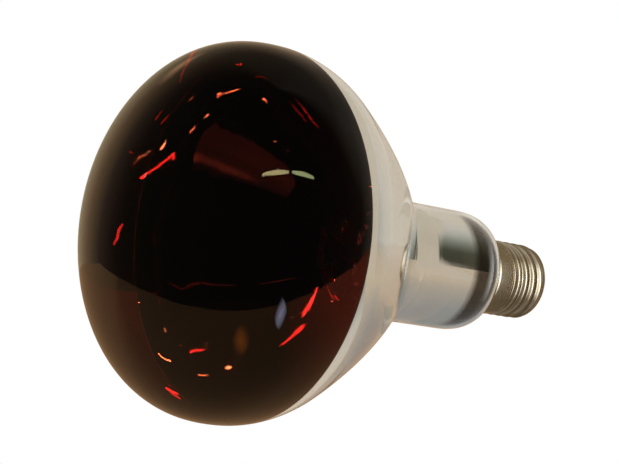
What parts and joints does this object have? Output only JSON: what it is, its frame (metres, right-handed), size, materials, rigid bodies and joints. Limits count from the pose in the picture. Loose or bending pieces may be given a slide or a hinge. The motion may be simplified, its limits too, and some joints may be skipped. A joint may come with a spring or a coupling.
{
  "type": "infrared heat lamp bulb",
  "caption": "Large ruby-faced reflector bulb for warming poultry and young stock, with a silvered bowl and neck and an Edison screw cap.",
  "frame": {"origin": "centre of the centre contact's flat face", "axes": "+Z along the lamp's axis from the centre contact to the ruby face; the two leads lie along X and the side lead's solder is at +Y"},
  "size_m": [0.125, 0.125, 0.1778],
  "materials": {
    "clear_glass": "polished clear blown glass",
    "ruby_glass": "gloss, deep ruby red, almost black where it reflects nothing",
    "mirror_film": "vapour-deposited aluminium behind glass, soft silver",
    "nickelled_brass": "satin nickel plate over brass, slightly dulled",
    "vitreous_insulator": "glossy black moulded glass",
    "contact_brass": "plain brass",
    "solder": "dull tin-lead solder",
    "basing_cement": "cured grainy cement",
    "stem_glass": "clear drawn glass",
    "hook_wire": "drawn molybdenum wire",
    "tungsten": "dark grey coiled tungsten",
    "lead_nickel": "bright nickel wire",
    "seal_copper": "copper-clad sealing wire",
    "mica": "pale brown mica sheet"
  },
  "bodies": {
    "root": {"glass_envelope": "clear_glass", "ruby_face_filter": "ruby_glass", "mirror_coating": "mirror_film", "screw_shell": "nickelled_brass", "cap_insulator": "vitreous_insulator", "centre_contact": "contact_brass", "contact_solder": "solder", "shell_solder": "solder", "basing_cement": "basing_cement", "stem_flare": "stem_glass", "stem_press": "stem_glass", "exhaust_tube": "stem_glass", "arbor_rod": "stem_glass", "arbor_button": "stem_glass", "filament_hook_1": "hook_wire", "filament_hook_2": "hook_wire", "filament_hook_3": "hook_wire", "filament_hook_4": "hook_wire", "filament_coil": "tungsten", "lead_wire_left": "lead_nickel", "lead_wire_right": "lead_nickel", "shield_collar_left": "lead_nickel", "shield_collar_right": "lead_nickel", "seal_wire_left": "seal_copper", "seal_wire_right": "seal_copper", "outer_lead_side": "lead_nickel", "outer_lead_centre": "lead_nickel", "heat_shield": "mica"}
  },
  "joints": []
}
